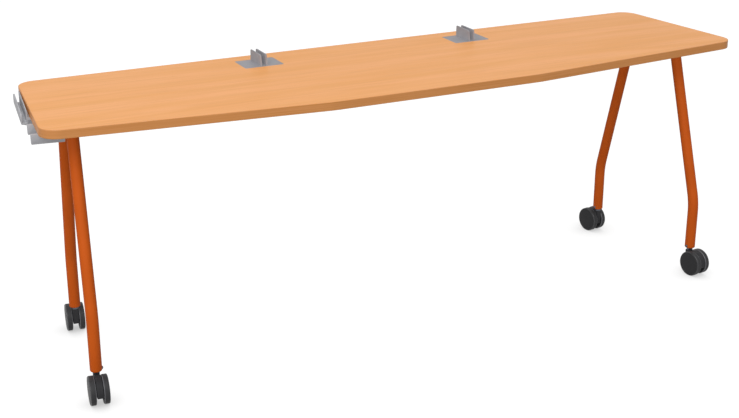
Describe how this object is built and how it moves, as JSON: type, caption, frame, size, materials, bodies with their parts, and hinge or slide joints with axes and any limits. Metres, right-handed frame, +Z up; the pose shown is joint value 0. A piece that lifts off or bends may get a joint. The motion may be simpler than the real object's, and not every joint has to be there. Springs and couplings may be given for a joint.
{
  "type": "training table",
  "caption": "Training table on twin-wheel casters: six-sided beech laminate top on splayed bent tube legs, with docks for upright boards and an end bracket for hanging boards.",
  "frame": {"origin": "on the floor, in the middle of the table's box", "axes": "+Z up, +X along the table to the user's right, +Y from the user's edge to the straight back edge"},
  "size_m": [2.0572, 0.5604, 0.755],
  "materials": {
    "beech_laminate": "high-pressure laminate with a straight beech grain, satin",
    "beech_edge_band": "extruded edge band in a beech tone, satin",
    "particleboard": "pressed wood particles, raw",
    "backer": "plain balancing sheet, matt",
    "orange_powder_coat": "powder coat over steel, fine satin texture",
    "grey_powder_coat": "powder coat over steel, satin",
    "grey_moulding": "moulded, fine matt grain",
    "zinc_steel": "zinc plated",
    "bright_stem": "bright plated",
    "caster_plastic": "moulded nylon, satin",
    "caster_tread": "soft tread, matt"
  },
  "bodies": {
    "table_frame": {"backing_sheet": "backer", "channel_screws": "zinc_steel", "edge_band": "beech_edge_band", "left_dock": "grey_moulding", "left_dock_clamp": "grey_powder_coat", "left_dock_screws": "zinc_steel", "left_front_caster_socket": "caster_plastic", "left_front_caster_stem": "bright_stem", "left_front_leg": "orange_powder_coat", "left_hook_bracket": "grey_moulding", "left_hook_screws": "zinc_steel", "left_leg_mount": "grey_powder_coat", "left_mount_screws": "zinc_steel", "left_rear_caster_socket": "caster_plastic", "left_rear_caster_stem": "bright_stem", "left_rear_leg": "orange_powder_coat", "left_socket_screws": "zinc_steel", "right_dock": "grey_moulding", "right_dock_clamp": "grey_powder_coat", "right_dock_screws": "zinc_steel", "right_front_caster_socket": "caster_plastic", "right_front_caster_stem": "bright_stem", "right_front_leg": "orange_powder_coat", "right_leg_mount": "grey_powder_coat", "right_mount_screws": "zinc_steel", "right_rear_caster_socket": "caster_plastic", "right_rear_caster_stem": "bright_stem", "right_rear_leg": "orange_powder_coat", "right_socket_screws": "zinc_steel", "stiffener_channel": "grey_powder_coat", "tabletop_core": "particleboard", "top_laminate": "beech_laminate"},
    "left_front_caster": {"left_front_caster_body": "caster_plastic", "left_front_caster_axle": "zinc_steel"},
    "left_front_caster_outer_wheel": {"left_front_caster_outer_wheel": "caster_plastic", "left_front_caster_outer_tread": "caster_tread"},
    "left_front_caster_inner_wheel": {"left_front_caster_inner_wheel": "caster_plastic", "left_front_caster_inner_tread": "caster_tread"},
    "left_rear_caster": {"left_rear_caster_body": "caster_plastic", "left_rear_caster_axle": "zinc_steel"},
    "left_rear_caster_outer_wheel": {"left_rear_caster_outer_wheel": "caster_plastic", "left_rear_caster_outer_tread": "caster_tread"},
    "left_rear_caster_inner_wheel": {"left_rear_caster_inner_wheel": "caster_plastic", "left_rear_caster_inner_tread": "caster_tread"},
    "right_front_caster": {"right_front_caster_body": "caster_plastic", "right_front_caster_axle": "zinc_steel"},
    "right_front_caster_outer_wheel": {"right_front_caster_outer_wheel": "caster_plastic", "right_front_caster_outer_tread": "caster_tread"},
    "right_front_caster_inner_wheel": {"right_front_caster_inner_wheel": "caster_plastic", "right_front_caster_inner_tread": "caster_tread"},
    "right_rear_caster": {"right_rear_caster_body": "caster_plastic", "right_rear_caster_axle": "zinc_steel"},
    "right_rear_caster_outer_wheel": {"right_rear_caster_outer_wheel": "caster_plastic", "right_rear_caster_outer_tread": "caster_tread"},
    "right_rear_caster_inner_wheel": {"right_rear_caster_inner_wheel": "caster_plastic", "right_rear_caster_inner_tread": "caster_tread"}
  },
  "joints": [
    {"name": "left_front_swivel", "type": "hinge", "parent": "table_frame", "child": "left_front_caster", "pos_m": [-0.92725, -0.19274, 0.075], "axis": [0, 0, 1], "continuous": true},
    {"name": "left_front_outer_roll", "type": "hinge", "parent": "left_front_caster", "child": "left_front_caster_outer_wheel", "pos_m": [-0.93053, -0.21702, 0.038], "axis": [0.991, -0.134, 0], "continuous": true},
    {"name": "left_front_inner_roll", "type": "hinge", "parent": "left_front_caster", "child": "left_front_caster_inner_wheel", "pos_m": [-0.93053, -0.21702, 0.038], "axis": [0.991, -0.134, 0], "continuous": true},
    {"name": "left_rear_swivel", "type": "hinge", "parent": "table_frame", "child": "left_rear_caster", "pos_m": [-0.87204, 0.21554, 0.075], "axis": [0, 0, 1], "continuous": true},
    {"name": "left_rear_outer_roll", "type": "hinge", "parent": "left_rear_caster", "child": "left_rear_caster_outer_wheel", "pos_m": [-0.86876, 0.23982, 0.038], "axis": [0.991, -0.134, 0], "continuous": true},
    {"name": "left_rear_inner_roll", "type": "hinge", "parent": "left_rear_caster", "child": "left_rear_caster_inner_wheel", "pos_m": [-0.86876, 0.23982, 0.038], "axis": [0.991, -0.134, 0], "continuous": true},
    {"name": "right_front_swivel", "type": "hinge", "parent": "table_frame", "child": "right_front_caster", "pos_m": [0.94249, -0.19274, 0.075], "axis": [0, 0, 1], "continuous": true},
    {"name": "right_front_outer_roll", "type": "hinge", "parent": "right_front_caster", "child": "right_front_caster_outer_wheel", "pos_m": [0.94577, -0.21702, 0.038], "axis": [0.991, 0.134, 0], "continuous": true},
    {"name": "right_front_inner_roll", "type": "hinge", "parent": "right_front_caster", "child": "right_front_caster_inner_wheel", "pos_m": [0.94577, -0.21702, 0.038], "axis": [0.991, 0.134, 0], "continuous": true},
    {"name": "right_rear_swivel", "type": "hinge", "parent": "table_frame", "child": "right_rear_caster", "pos_m": [0.88729, 0.21554, 0.075], "axis": [0, 0, 1], "continuous": true},
    {"name": "right_rear_outer_roll", "type": "hinge", "parent": "right_rear_caster", "child": "right_rear_caster_outer_wheel", "pos_m": [0.88401, 0.23982, 0.038], "axis": [0.991, 0.134, 0], "continuous": true},
    {"name": "right_rear_inner_roll", "type": "hinge", "parent": "right_rear_caster", "child": "right_rear_caster_inner_wheel", "pos_m": [0.88401, 0.23982, 0.038], "axis": [0.991, 0.134, 0], "continuous": true}
  ]
}
